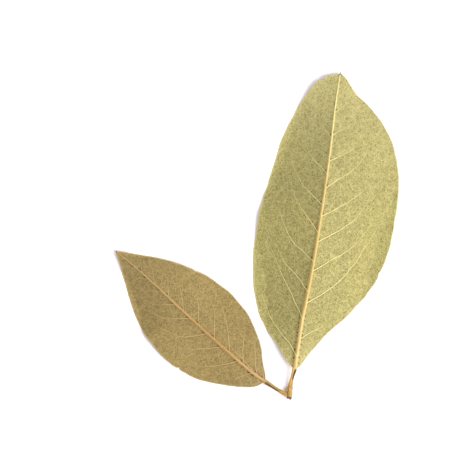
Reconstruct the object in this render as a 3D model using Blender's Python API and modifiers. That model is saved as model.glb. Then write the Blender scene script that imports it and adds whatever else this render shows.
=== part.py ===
"""Bay leaf sprig: two dried leaves on a short torn piece of twig, lying with their undersides up.

Run with: blender --background --python part.py
Metres, +Z up. The origin lies on the table, under the middle of the sprig. The twig's torn foot is near
the front, and the large leaf points away along +Y. Sizes below are in millimetres.
"""

import math

import bpy
from mathutils import Matrix, Vector

MM = 0.001

# From the origin to the twig's foot, so that the origin is the middle of the sprig's footprint.
FOOT_X = 9.45
FOOT_Y = -47.66

# The twig: centres of its two ends, measured from the foot, and its thickness.
TWIG_FOOT = (0.05, -0.80, 0.76)
TWIG_TOP = (0.47, 2.72, 1.05)
TWIG_RADIUS = 0.74
TWIG_ROUNDING = 0.18

# The bud in the angle between the twig and the small leaf's stalk.
BUD_FOOT = (-0.92, 1.20, 0.95)
BUD_TIP = (-0.72, 3.00, 1.30)
BUD_RADIUS = 0.27

# A leaf is a sheet of rows across it and columns along it, given a thickness upwards. The stalk takes the
# first share of the rows, and the midrib the innermost share of the columns. Rows lie closer together near
# the blade's two ends.
STALK_ROWS = 0.12
MIDRIB_COLUMNS = 0.2
END_CROWDING = 0.11
BLADE_THICKNESS = 0.34
# How many times steeper than its average slope the blade falls beside its midrib. It levels off outwards.
SLOPE_AT_MIDRIB = 1.15
# A margin that would reach lower than the table lies flat on it, and bends up from it within this height.
BEND_HEIGHT = 0.25

# Along a leaf, 0 is the foot of the blade, 1 its tip, and -1 the foot of the stalk.
# spine: (along, x, y, height) of the stalk's and midrib's lower side, x and y measured from the twig's foot.
# margins: (along, width left, width right, height left, height right), widths from the middle of the midrib.
# midrib: (along, half of its width, its thickness).
LARGE_LEAF = {
    "name": "large_leaf",
    "rows": 52,
    "columns": 20,
    "spine": (
        (-1.00, 0.44, 3.00, 0.55),
        (-0.50, 1.00, 5.50, 1.05),
        (0.00, 1.72, 8.10, 1.85),
        (0.08, 2.72, 15.1, 3.20),
        (0.165, 3.80, 22.5, 4.75),
        (0.24, 5.15, 29.1, 5.90),
        (0.35, 7.00, 38.9, 7.20),
        (0.55, 9.80, 56.4, 7.90),
        (0.75, 12.3, 74.0, 6.10),
        (0.90, 13.9, 87.3, 3.50),
        (1.00, 15.3, 96.0, 1.30),
    ),
    "margins": (
        (-1.00, 0.64, 0.64, 0.75, 0.75),
        (-0.50, 0.55, 0.55, 1.20, 1.20),
        (0.00, 0.75, 0.80, 1.95, 1.95),
        (0.03, 2.75, 2.05, 1.95, 2.20),
        (0.07, 6.25, 4.55, 1.35, 1.90),
        (0.12, 10.2, 7.50, 0.20, 1.40),
        (0.20, 14.7, 12.6, -1.20, 0.60),
        (0.29, 17.1, 17.8, -1.50, -0.30),
        (0.38, 18.2, 21.0, -0.20, -1.30),
        (0.48, 18.3, 22.3, 0.90, -1.70),
        (0.58, 17.3, 22.5, 0.20, -0.60),
        (0.66, 16.1, 22.0, -1.10, 0.90),
        (0.76, 14.7, 19.7, -1.50, 1.00),
        (0.85, 11.8, 15.1, -0.20, -0.50),
        (0.91, 9.30, 9.90, 0.90, -1.00),
        (0.948, 7.40, 5.60, 1.40, 0.00),
        (0.976, 5.50, 3.30, 1.60, 0.75),
        (0.990, 3.40, 2.20, 1.50, 1.05),
        (1.00, 1.20, 0.90, 1.35, 1.20),
    ),
    "midrib": (
        (-1.00, 0.64, 1.15),
        (-0.40, 0.56, 1.05),
        (0.00, 0.70, 1.12),
        (0.40, 0.52, 0.85),
        (0.80, 0.27, 0.55),
        (1.00, 0.16, 0.38),
    ),
    "colour": (0.42, 0.38, 0.16, 1.0),
}
SMALL_LEAF = {
    "name": "small_leaf",
    "rows": 42,
    "columns": 20,
    "spine": (
        (-1.00, -1.12, 0.25, 0.50),
        (-0.50, -3.90, 1.95, 0.90),
        (0.00, -7.40, 4.30, 1.40),
        (0.08, -11.2, 7.00, 2.30),
        (0.18, -15.8, 10.9, 3.30),
        (0.35, -23.5, 17.7, 4.70),
        (0.55, -32.5, 26.0, 5.20),
        (0.75, -41.1, 34.0, 4.10),
        (0.90, -47.5, 39.6, 2.40),
        (1.00, -51.6, 42.9, 1.20),
    ),
    "margins": (
        (-1.00, 0.56, 0.56, 0.68, 0.68),
        (-0.50, 0.52, 0.52, 1.05, 1.05),
        (0.00, 0.80, 0.70, 1.50, 1.50),
        (0.03, 3.00, 2.20, 1.40, 1.60),
        (0.07, 5.30, 4.70, 0.90, 1.40),
        (0.12, 7.60, 7.40, 0.10, 1.00),
        (0.20, 10.6, 10.2, -0.90, 0.30),
        (0.30, 13.2, 12.6, -1.20, -0.80),
        (0.42, 14.4, 13.5, 0.20, -1.30),
        (0.55, 13.7, 12.7, 0.80, 0.00),
        (0.68, 11.3, 10.3, -0.60, 0.90),
        (0.79, 7.90, 7.20, -1.10, 0.10),
        (0.89, 4.30, 3.80, 0.20, -0.60),
        (0.96, 1.80, 1.60, 0.90, 0.60),
        (1.00, 0.45, 0.40, 1.10, 1.10),
    ),
    "midrib": (
        (-1.00, 0.56, 1.10),
        (-0.40, 0.52, 1.00),
        (0.00, 0.54, 1.00),
        (0.40, 0.42, 0.76),
        (0.80, 0.25, 0.50),
        (1.00, 0.15, 0.38),
    ),
    "colour": (0.46, 0.34, 0.13, 1.0),
}
BARK_COLOUR = (0.42, 0.24, 0.08, 1.0)
BUD_COLOUR = (0.24, 0.11, 0.04, 1.0)


def in_metres(x, y, z):
    """A place measured from the twig's foot in millimetres, in the sprig's own frame."""
    return Vector(((FOOT_X + x) * MM, (FOOT_Y + y) * MM, z * MM))


def slope_at(before, here, after, i):
    """The slope of value i at the station here: none at a highest or lowest one, so that the curve never
    overshoots."""
    rise_before = (here[i] - before[i]) / (here[0] - before[0])
    rise_after = (after[i] - here[i]) / (after[0] - here[0])
    if rise_before * rise_after <= 0:
        return 0.0
    return 2 * rise_before * rise_after / (rise_before + rise_after)


def smooth_values(stations, at):
    """The values that the stations give, on a smooth curve through them, at this place along the leaf."""
    last = len(stations) - 1
    k = 0
    while k < last - 1 and at > stations[k + 1][0]:
        k += 1
    start, end = stations[k], stations[k + 1]
    step = end[0] - start[0]
    x = (at - start[0]) / step
    values = []
    for i in range(1, len(start)):
        rise = end[i] - start[i]
        leaving = step * slope_at(stations[k - 1], start, end, i) if k > 0 else rise
        arriving = step * slope_at(start, end, stations[k + 2], i) if k + 2 <= last else rise
        bend = (3 * rise - 2 * leaving - arriving) * x**2 + (leaving + arriving - 2 * rise) * x**3
        values.append(start[i] + leaving * x + bend)
    return values


def place_along(row):
    """The place along the leaf, from -1 to 1, of a row from 0 to 1."""
    if row < STALK_ROWS:
        return row / STALK_ROWS - 1
    on_blade = (row - STALK_ROWS) / (1 - STALK_ROWS)
    return on_blade - END_CROWDING * math.sin(2 * math.pi * on_blade)


def offset_across(column, width, half_midrib):
    """How far right of the midrib's middle, in millimetres, a column from -1 to 1 runs."""
    inner = min(half_midrib, MIDRIB_COLUMNS * width)
    out = abs(column)
    if out <= MIDRIB_COLUMNS:
        offset = inner * out / MIDRIB_COLUMNS
    else:
        offset = inner + (width - inner) * (out - MIDRIB_COLUMNS) / (1 - MIDRIB_COLUMNS)
    return math.copysign(offset, column)


def laid_on_table(height):
    """The height with everything below the table laid flat on it, and a soft bend where it leaves it."""
    if height > BEND_HEIGHT:
        return height
    return max(0.0, height + BEND_HEIGHT) ** 2 / (4 * BEND_HEIGHT)


def lower_side(leaf, row, column):
    """A point of the leaf's lower side, and the leaf's thickness there in millimetres."""
    at = place_along(row)
    x, y, spine_height = smooth_values(leaf["spine"], at)
    ahead = smooth_values(leaf["spine"], at + 0.01)
    heading = Vector((ahead[0] - x, ahead[1] - y)).normalized()
    half_midrib, midrib_thickness = smooth_values(leaf["midrib"], at)
    width_left, width_right, height_left, height_right = smooth_values(leaf["margins"], at)
    width, margin_height = (width_right, height_right) if column > 0 else (width_left, height_left)
    offset = offset_across(column, width, half_midrib)
    out = abs(offset) / width
    fall = SLOPE_AT_MIDRIB * out + (1 - SLOPE_AT_MIDRIB) * out**2
    height = laid_on_table(spine_height + (margin_height - spine_height) * fall)
    roundness = math.sqrt(max(0.0, 1 - (offset / half_midrib) ** 2))
    thickness = BLADE_THICKNESS + (midrib_thickness - BLADE_THICKNESS) * roundness
    return in_metres(x + heading.y * offset, y - heading.x * offset, height), thickness


def new_material(name, colour, roughness):
    material = bpy.data.materials.new(name)
    material.diffuse_color = colour
    material.use_nodes = True
    shader = material.node_tree.nodes["Principled BSDF"]
    shader.inputs["Base Color"].default_value = colour
    shader.inputs["Roughness"].default_value = roughness
    shader.inputs["Metallic"].default_value = 0.0
    return material


def finish(obj, name, material, collection):
    """Names the object, gives it its material and puts it in the sprig's collection."""
    obj.name = name
    obj.data.name = name
    obj.data.materials.append(material)
    obj.data.shade_smooth()
    for other in list(obj.users_collection):
        other.objects.unlink(obj)
    collection.objects.link(obj)


def make_leaf(leaf, collection):
    """One leaf with its stalk: a grid laid to the leaf's shape, thickened upwards by a Solidify modifier."""
    bpy.ops.mesh.primitive_grid_add(x_subdivisions=leaf["columns"], y_subdivisions=leaf["rows"], size=2)
    obj = bpy.context.object
    thickest = max(thickness for _, _, thickness in leaf["midrib"])
    thinnest_share = BLADE_THICKNESS / thickest
    thickening = obj.vertex_groups.new(name="thickness")
    for vertex in obj.data.vertices:
        column, row = vertex.co.x, (vertex.co.y + 1) / 2
        vertex.co, thickness = lower_side(leaf, row, column)
        weight = (thickness / thickest - thinnest_share) / (1 - thinnest_share)
        thickening.add([vertex.index], weight, "REPLACE")
    solid = obj.modifiers.new("thickness", "SOLIDIFY")
    solid.thickness = thickest * MM
    solid.offset = 1
    solid.vertex_group = thickening.name
    solid.thickness_vertex_group = thinnest_share
    finish(obj, leaf["name"], new_material(leaf["name"], leaf["colour"], 0.6), collection)
    obj.data.set_sharp_from_angle(angle=math.radians(50))


def turned_along(foot, tip):
    """The matrix that lays an object standing on +Z at the origin from foot to tip, and their distance."""
    start, end = in_metres(*foot), in_metres(*tip)
    turn = (end - start).to_track_quat("Z", "Y").to_matrix().to_4x4()
    return Matrix.Translation((start + end) / 2) @ turn, (end - start).length


def make_twig(collection):
    """The piece of twig: a short cylinder with rounded ends."""
    matrix, length = turned_along(TWIG_FOOT, TWIG_TOP)
    bpy.ops.mesh.primitive_cylinder_add(vertices=20, radius=TWIG_RADIUS * MM, depth=length)
    obj = bpy.context.object
    obj.matrix_world = matrix
    rounding = obj.modifiers.new("rounded_ends", "BEVEL")
    rounding.width = TWIG_ROUNDING * MM
    rounding.segments = 2
    rounding.limit_method = "ANGLE"
    finish(obj, "twig_stub", new_material("twig_bark", BARK_COLOUR, 0.8), collection)


def make_bud(collection):
    """The bud: a ball drawn out along its length and narrowed to a point."""
    matrix, length = turned_along(BUD_FOOT, BUD_TIP)
    bpy.ops.mesh.primitive_uv_sphere_add(segments=14, ring_count=9, radius=1)
    obj = bpy.context.object
    for vertex in obj.data.vertices:
        height = (vertex.co.z + 1) / 2
        narrowing = BUD_RADIUS * MM * (1.25 - 0.75 * height)
        vertex.co = Vector((vertex.co.x * narrowing, vertex.co.y * narrowing, (height - 0.5) * length))
    obj.matrix_world = matrix
    finish(obj, "axillary_bud", new_material("bud_scales", BUD_COLOUR, 0.6), collection)


def main():
    for obj in list(bpy.data.objects):
        bpy.data.objects.remove(obj, do_unlink=True)
    collection = bpy.data.collections.new("bay_leaf_sprig")
    bpy.context.scene.collection.children.link(collection)
    make_twig(collection)
    make_bud(collection)
    make_leaf(LARGE_LEAF, collection)
    make_leaf(SMALL_LEAF, collection)


main()
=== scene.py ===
"""Bay leaf sprig: the finished look of two dried leaves on a short torn piece of twig, undersides up.

Laid out as a Blender add-on: its properties hold what a user would change, its operators make the pieces,
and a panel in the 3D view's sidebar lists them. The script runs them all when it is run by itself.
Metres, +Z up. Tables of sizes are in millimetres and start from the twig's foot.
"""

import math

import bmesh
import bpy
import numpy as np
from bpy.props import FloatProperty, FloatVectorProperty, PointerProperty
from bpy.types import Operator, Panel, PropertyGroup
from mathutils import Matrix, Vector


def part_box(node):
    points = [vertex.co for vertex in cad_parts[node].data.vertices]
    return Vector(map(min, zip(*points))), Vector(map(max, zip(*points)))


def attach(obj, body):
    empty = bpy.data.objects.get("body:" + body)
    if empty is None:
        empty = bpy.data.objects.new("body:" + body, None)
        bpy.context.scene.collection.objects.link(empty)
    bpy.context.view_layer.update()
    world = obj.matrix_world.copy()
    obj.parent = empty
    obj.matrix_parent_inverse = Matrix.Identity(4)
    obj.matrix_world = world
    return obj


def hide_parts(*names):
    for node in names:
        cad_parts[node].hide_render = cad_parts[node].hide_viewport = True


bl_info = {
    "name": "Bay Leaf Sprig",
    "version": (1, 0, 0),
    "blender": (4, 5, 0),
    "location": "3D View > Sidebar > Bay sprig",
    "description": "Makes a dried bay leaf sprig with modelled veins, twig and bud",
    "category": "Add Mesh",
}

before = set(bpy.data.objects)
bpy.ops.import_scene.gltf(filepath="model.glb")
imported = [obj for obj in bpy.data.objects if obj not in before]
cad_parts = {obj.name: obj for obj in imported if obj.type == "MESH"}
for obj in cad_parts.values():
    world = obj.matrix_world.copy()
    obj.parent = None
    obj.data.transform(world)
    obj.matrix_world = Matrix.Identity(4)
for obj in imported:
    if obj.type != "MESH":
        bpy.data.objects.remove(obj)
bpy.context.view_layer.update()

MM = 0.001

# The twig and its bud: the middle of both ends of each, and their radii.
TWIG_FOOT = np.array((0.05, -0.80, 0.76))
TWIG_TOP = np.array((0.47, 2.72, 1.05))
TWIG_RADIUS = 0.74
BUD_FOOT = np.array((-0.66, 0.95, 0.90))
BUD_TIP = np.array((-0.74, 2.75, 1.30))
BUD_RADIUS = 0.31

# Along a leaf, 0 is the foot of the blade, 1 its tip, and -1 the foot of the stalk. The seed sets its waves,
# wrinkles and veins.
# spine: (along, x, y, height) of the stalk's and midrib's lower side.
# margins: (along, width left, width right, height left, height right), widths from the middle of the midrib.
# midrib: (along, half of its width, its thickness).
# veins: (along where it leaves the midrib, degrees from the midrib, share of the half width it reaches,
# degrees from the margin's own direction where it ends).
# nicks: (along, side, depth, reach along the margin), -1 for the left side and 1 for the right.
LARGE_LEAF = {
    "name": "large_leaf",
    "seed": 4,
    "spine": (
        (-1.00, 0.44, 3.00, 0.55),
        (-0.50, 1.00, 5.50, 1.05),
        (0.00, 1.72, 8.10, 1.85),
        (0.08, 2.72, 15.1, 3.20),
        (0.165, 3.80, 22.5, 4.75),
        (0.24, 5.15, 29.1, 5.90),
        (0.35, 7.00, 38.9, 7.20),
        (0.55, 9.80, 56.4, 7.90),
        (0.75, 12.3, 74.0, 6.10),
        (0.90, 13.9, 87.3, 3.50),
        (1.00, 15.3, 96.0, 1.30),
    ),
    "margins": (
        (-1.00, 0.64, 0.64, 0.75, 0.75),
        (-0.50, 0.55, 0.55, 1.20, 1.20),
        (0.00, 0.75, 0.80, 1.95, 1.95),
        (0.03, 2.75, 2.05, 1.95, 2.20),
        (0.07, 6.25, 4.55, 1.35, 1.90),
        (0.12, 10.2, 7.50, 0.20, 1.40),
        (0.20, 14.7, 12.6, -1.20, 0.60),
        (0.29, 17.1, 17.8, -1.50, -0.30),
        (0.38, 18.2, 21.0, -0.20, -1.30),
        (0.48, 18.3, 22.3, 0.90, -1.70),
        (0.58, 17.3, 22.5, 0.20, -0.60),
        (0.66, 16.1, 22.0, -1.10, 0.90),
        (0.76, 14.7, 19.7, -1.50, 1.00),
        (0.85, 11.8, 15.1, -0.20, -0.50),
        (0.91, 9.30, 9.90, 0.90, -1.00),
        (0.948, 7.40, 5.60, 1.40, 0.00),
        (0.976, 5.50, 3.30, 1.60, 0.75),
        (0.990, 3.40, 2.20, 1.50, 1.05),
        (1.00, 1.20, 0.90, 1.35, 1.20),
        (1.004, 0.14, 0.14, 1.25, 1.25),
        (1.014, 0.03, 0.03, 1.20, 1.20),
    ),
    "midrib": (
        (-1.00, 0.64, 1.15),
        (-0.40, 0.56, 1.05),
        (0.00, 0.70, 1.12),
        (0.40, 0.52, 0.85),
        (0.80, 0.27, 0.55),
        (1.00, 0.16, 0.38),
    ),
    "veins_left": (
        (0.047, 41, 0.93, 10), (0.172, 40, 0.94, 16), (0.262, 50, 0.90, 26), (0.364, 54, 0.91, 22),
        (0.462, 49, 0.89, 28), (0.555, 55, 0.90, 22), (0.662, 50, 0.90, 12), (0.782, 41, 0.90, 14),
        (0.885, 36, 0.84, 20),
    ),
    "veins_right": (
        (0.098, 52, 0.86, 24), (0.222, 49, 0.94, 12), (0.330, 53, 0.90, 28), (0.428, 49, 0.92, 20),
        (0.516, 56, 0.88, 30), (0.612, 51, 0.90, 24), (0.704, 54, 0.88, 28), (0.792, 48, 0.88, 22),
        (0.868, 41, 0.88, 20),
    ),
    "nicks": ((0.975, -1, 1.0, 0.0045), (0.948, -1, 0.25, 0.004), (0.36, 1, 0.30, 0.004)),
}
SMALL_LEAF = {
    "name": "small_leaf",
    "seed": 11,
    "spine": (
        (-1.00, -1.12, 0.25, 0.50),
        (-0.50, -3.90, 1.95, 0.90),
        (0.00, -7.40, 4.30, 1.40),
        (0.08, -11.2, 7.00, 2.30),
        (0.18, -15.8, 10.9, 3.30),
        (0.35, -23.5, 17.7, 4.70),
        (0.55, -32.5, 26.0, 5.20),
        (0.75, -41.1, 34.0, 4.10),
        (0.90, -47.5, 39.6, 2.40),
        (1.00, -51.6, 42.9, 1.20),
    ),
    "margins": (
        (-1.00, 0.56, 0.56, 0.68, 0.68),
        (-0.50, 0.52, 0.52, 1.05, 1.05),
        (0.00, 0.80, 0.70, 1.50, 1.50),
        (0.03, 3.00, 2.20, 1.40, 1.60),
        (0.07, 5.30, 4.70, 0.90, 1.40),
        (0.12, 7.60, 7.40, 0.10, 1.00),
        (0.20, 10.6, 10.2, -0.90, 0.30),
        (0.30, 13.2, 12.6, -1.20, -0.80),
        (0.42, 14.4, 13.5, 0.20, -1.30),
        (0.55, 13.7, 12.7, 0.80, 0.00),
        (0.68, 11.3, 10.3, -0.60, 0.90),
        (0.79, 7.90, 7.20, -1.10, 0.10),
        (0.89, 4.30, 3.80, 0.20, -0.60),
        (0.96, 1.80, 1.60, 0.90, 0.60),
        (1.00, 0.45, 0.40, 1.10, 1.10),
        (1.006, 0.12, 0.12, 1.05, 1.05),
        (1.018, 0.03, 0.03, 1.00, 1.00),
    ),
    "midrib": (
        (-1.00, 0.56, 1.10),
        (-0.40, 0.52, 1.00),
        (0.00, 0.54, 1.00),
        (0.40, 0.42, 0.76),
        (0.80, 0.25, 0.50),
        (1.00, 0.15, 0.38),
    ),
    "veins_left": (
        (-0.02, 8, 0.22, 4), (0.075, 58, 0.84, 26), (0.165, 53, 0.90, 20), (0.272, 49, 0.90, 26),
        (0.372, 53, 0.89, 18), (0.480, 47, 0.90, 24), (0.580, 46, 0.90, 16), (0.680, 43, 0.88, 20),
        (0.775, 39, 0.88, 14), (0.862, 34, 0.85, 16),
    ),
    "veins_right": (
        (-0.02, 9, 0.24, 4), (0.008, 40, 0.93, 9), (0.045, 44, 0.92, 12), (0.135, 50, 0.90, 24),
        (0.228, 53, 0.90, 20), (0.326, 48, 0.89, 28), (0.428, 52, 0.90, 20), (0.530, 47, 0.90, 22),
        (0.634, 45, 0.89, 16), (0.732, 41, 0.88, 20), (0.822, 37, 0.86, 14),
    ),
    "nicks": ((0.36, -1, 0.5, 0.006), (0.62, 1, 0.35, 0.005)),
}

# How much steeper than on average a blade falls away beside its midrib.
SLOPE_AT_MIDRIB = 1.15
# The height over which the blade bends where it comes to lie flat on the table.
BEND_HEIGHT = 0.25
# Steps along the blade, as shares of it, over which the midrib's and the margin's directions are measured.
SMALL_STEP = 0.004
MARGIN_STEP = 0.01
# Side veins are traced in steps of this many millimetres, end before this place along the blade, and are
# left out where they have fewer points than the shortest.
VEIN_STEP = 0.45
LAST_VEIN_PLACE = 0.992
SHORTEST_VEIN = 8
# Veins at least this strong make the blade swell between them.
PANEL_VEIN_STRENGTH = 0.30
# A distance for points that have no vein or axil near them.
FAR_AWAY = 1e3

# The leaf's mesh. The stalk takes the first rows, from inside the twig, and the midrib the innermost
# columns. The outermost columns stand at these distances from the margin and round its edge.
ROWS_PER_MM = 3.1
STALK_ROWS = 36
STALK_START = -1.12
MIDRIB_COLUMNS = 9
BLADE_COLUMNS = 55
EDGE_STEPS = (0.20, 0.09, 0.03)
EDGE_ROUNDING = 0.22


def millimetres(name):
    """The lowest and highest corner of a CAD node, in millimetres."""
    low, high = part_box(name)
    return np.array(low) / MM, np.array(high) / MM


TWIG_LOW, TWIG_HIGH = millimetres("twig_stub")
# Where the twig's foot lies in the frame.
FOOT = (TWIG_LOW + TWIG_HIGH) / 2 - (TWIG_FOOT + TWIG_TOP) / 2
FOOT[2] = 0.0


# -------- numbers

def smooth_values(stations, at):
    """The values that the stations give, on smooth curves that never overshoot, at each place in at."""
    table = np.array(stations)
    place, values = table[:, 0], table[:, 1:]
    rise = np.diff(values, axis=0) / np.diff(place)[:, None]
    before, after = rise[:-1], rise[1:]
    same_way = before * after > 0
    total = np.where(same_way, before + after, 1.0)
    slopes = np.vstack([rise[:1], np.where(same_way, 2 * before * after / total, 0.0), rise[-1:]])
    k = np.clip(np.searchsorted(place, at, side="right") - 1, 0, len(place) - 2)
    step = (place[k + 1] - place[k])[:, None]
    x = (at - place[k])[:, None] / step
    change = values[k + 1] - values[k]
    leaving, arriving = step * slopes[k], step * slopes[k + 1]
    return (
        values[k]
        + leaving * x
        + (3 * change - 2 * leaving - arriving) * x**2
        + (leaving + arriving - 2 * change) * x**3
    )


def soft_step(value, low, high):
    """0 below low, 1 above high, and a smooth rise between."""
    x = np.clip((value - low) / (high - low), 0.0, 1.0)
    return x * x * (3 - 2 * x)


def hump(value, middle, spread):
    """1 in the middle, falling off softly to 0 on both sides."""
    return np.exp(-(((value - middle) / spread) ** 2))


def unit(vectors):
    """The vectors at a length of 1."""
    return vectors / np.maximum(np.linalg.norm(vectors, axis=1)[:, None], 1e-12)


def rolling(x, y, wavelength, seed, waves=11):
    """A smooth random field of about this wavelength, mostly between -2 and 2."""
    rng = np.random.default_rng(seed)
    total = np.zeros_like(x)
    for _ in range(waves):
        turn, start = rng.uniform(0, 2 * math.pi, 2)
        length = wavelength * rng.uniform(0.7, 1.6)
        total += np.sin((x * math.cos(turn) + y * math.sin(turn)) * 2 * math.pi / length + start)
    return total / math.sqrt(waves / 2)


def laid_on_table(height):
    """Heights with everything below the table laid flat on it, and a soft bend where it leaves it."""
    bend = np.maximum(0.0, height + BEND_HEIGHT) ** 2 / (4 * BEND_HEIGHT)
    return np.where(height > BEND_HEIGHT, height, bend)


# -------- the shape of a leaf

def spine_length(leaf, start, end, steps):
    """The length of the spine between two places along it, as seen from above, in millimetres."""
    points = smooth_values(leaf["spine"], np.linspace(start, end, steps))
    return float(np.linalg.norm(np.diff(points[:, :2], axis=0), axis=1).sum())


def distance_along(leaf, at):
    """The distance along the midrib from the blade's foot, less than 0 on the stalk, in millimetres."""
    return np.where(at > 0, at * leaf["length"], at * spine_length(leaf, -1, 0, 20))


def stalk_closing(at):
    """How the stalk rounds off at its foot: 0 at its very end, and 1 on the rest of the leaf."""
    return np.sqrt(soft_step(at, STALK_START - 0.004, STALK_START + 0.075))


def half_width(leaf, at, side):
    """The blade's width on one side of the midrib, with the nicks in its margin."""
    width = smooth_values(leaf["margins"], at)[:, :2]
    width = np.where(side > 0, width[:, 1], width[:, 0])
    for nick_at, nick_side, depth, reach in leaf["nicks"]:
        width = width - np.where(side * nick_side > 0, depth * hump(at, nick_at, reach), 0.0)
    ragged = rolling(at * 100, side * 7.0, 1.9, leaf["seed"] + 30) * 0.025
    ragged += rolling(at * 100, side * 7.0, 8.0, leaf["seed"] + 31) * 0.05
    width = width + ragged * soft_step(at, 0.02, 0.10) * (1 - soft_step(at, 0.985, 1.0))
    # The stalk swells a little where it joins the twig, and rounds off inside it.
    swelling = 1 + 0.16 * hump(at, -0.93, 0.10)
    return width * swelling * (0.12 + 0.88 * stalk_closing(at))


def leaf_points(leaf, shape, at, offset, upper, vein_gap):
    """Points of a leaf's sheet at places along and offsets across it, all in millimetres from the foot.

    upper is 1 for the side that faces up and 0 for the side on the table. vein_gap is the distance to the
    nearest side vein.
    """
    spine = smooth_values(leaf["spine"], at)
    heading = smooth_values(leaf["spine"], at + SMALL_STEP) - smooth_values(leaf["spine"], at - SMALL_STEP)
    heading = unit(heading[:, :2])
    half_midrib, midrib_thickness = smooth_values(leaf["midrib"], np.minimum(at, 1.0)).T
    heights = smooth_values(leaf["margins"], at)[:, 2:]
    margin_height = np.where(offset > 0, heights[:, 1], heights[:, 0])
    width = half_width(leaf, at, np.where(offset > 0, 1, -1))
    out = np.clip(np.abs(offset) / width, 0.0, 1.0)
    fall = SLOPE_AT_MIDRIB * out + (1 - SLOPE_AT_MIDRIB) * out**2
    height = spine[:, 2] + (margin_height - spine[:, 2]) * fall
    along = distance_along(leaf, at)
    on_blade = soft_step(at, 0.0, 0.05) * (1 - soft_step(at, 0.985, 1.0))

    # The dried blade's own relief: waves that grow towards the margin, panels that swell between the side
    # veins, and fine wrinkles.
    seed = leaf["seed"]
    waves = rolling(offset * 0.6, along, 15.0, seed) * shape.waviness / MM * out**2
    curls = rolling(offset * 0.8, along, 6.0, seed + 1) * shape.waviness / MM * 0.30 * out**3
    beside_midrib = soft_step(np.abs(offset), 0.4, 3.0)
    panels = shape.panel_swell / MM * (1 - hump(vein_gap, 0, 2.0)) * beside_midrib
    wrinkles = rolling(offset, along, 3.4, seed + 2) * 0.30 + rolling(offset, along, 1.7, seed + 3) * 0.13
    relief = waves + curls + panels + wrinkles * shape.wrinkles / MM * beside_midrib
    height = laid_on_table(height + relief * on_blade)

    # The blade's two sides.
    rim = np.maximum(width - np.abs(offset), 0.0)
    rounding = np.sqrt(1 - (1 - np.clip(rim / EDGE_ROUNDING, 0, 1)) ** 2)
    sheet = shape.blade_thickness / MM
    bead = shape.margin_bead / MM * hump(rim, 0.25, 0.28)
    blade = (sheet + bead) * (0.10 + 0.90 * rounding)
    ridge = np.sqrt(np.maximum(0.0, 1 - (offset / half_midrib) ** 2))
    foot_of_ridge = 0.06 * hump(np.abs(offset) / half_midrib, 1, 0.5)
    groove = 0.14 * hump(offset, 0, 0.7 * half_midrib) * soft_step(at, 0.0, 0.1)
    blade_low = height + sheet * 0.35 * (1 - rounding) + groove
    thick = blade + np.maximum(midrib_thickness - sheet, 0) * ridge + foot_of_ridge
    blade_side = np.where(upper > 0, height + np.maximum(thick, 0.0), blade_low)

    # The stalk: a rod that is flatter below, with a dried channel along its right side.
    round_off = np.sqrt(np.maximum(0.0, 1 - out**2))
    rounded = round_off * stalk_closing(at)
    rod_low = height + midrib_thickness * (0.38 - 0.38 * rounded)
    rod_high = height + midrib_thickness * (0.38 + 0.62 * rounded)
    turn = offset / width
    channel = 0.34 * hump(turn, leaf["channel"], 0.28)
    channel *= soft_step(at, -0.95, -0.6) * (1 - soft_step(at, -0.06, 0.01))
    shrivel = rolling(turn * 2.2, along * 0.35, 1.1, seed + 5) * 0.035
    rod_side = np.where(upper > 0, rod_high - channel + shrivel, rod_low - shrivel * 0.5)
    stalk = 1 - soft_step(at, -0.10, 0.015)
    side = stalk * rod_side + (1 - stalk) * blade_side
    return np.column_stack((
        spine[:, 0] + heading[:, 1] * offset,
        spine[:, 1] - heading[:, 0] * offset,
        np.maximum(side, 0.0),
    ))


def trace(leaf, point, side, steps, heading, spread, reach, last, rng):
    """A vein's path from a point on, step by step, as places along and offsets across.

    heading gives its degrees from the midrib, from its share of the half width and the margin's own degrees.
    It wanders by about spread degrees, and ends at the reach, a share of the half width, or the last place.
    """
    at, offset = point
    path = [point]
    wander = 0.0
    for _ in range(steps):
        width, ahead = half_width(leaf, np.array([at, at + MARGIN_STEP]), np.array([side, side]))
        margin = math.degrees(math.atan2(ahead - width, MARGIN_STEP * leaf["length"]))
        out = offset / width
        wander = 0.80 * wander + rng.normal(0, spread)
        angle = math.radians(heading(out, margin) + wander)
        at += VEIN_STEP * math.cos(angle) / leaf["length"]
        offset += VEIN_STEP * math.sin(angle)
        if out > reach or at > last:
            break
        path.append((at, offset))
    return np.array(path) * (1, side)


def trace_vein(leaf, start, degrees, reach, ending, side, rng):
    """A side vein, which leaves the midrib and bends along the margin."""
    def heading(out, margin):
        bend = 0.72 * soft_step(out, 0.20, 0.56) + 0.28 * soft_step(out, 0.62, 0.93)
        return degrees + (margin + ending - degrees) * bend
    return trace(leaf, (start, 0.0), side, 110, heading, 2.6, reach, LAST_VEIN_PLACE, rng)


def trace_fork(leaf, point, side, degrees, rng):
    """A fork that leaves a side vein at a point and runs on towards the margin."""
    def heading(out, _):
        return degrees - 24 * soft_step(out, 0.6, 0.95)
    start = (point[0], abs(point[1]))
    return trace(leaf, start, side, int(rng.uniform(9, 17)), heading, 3.0, 0.93, 0.99, rng)


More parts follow.
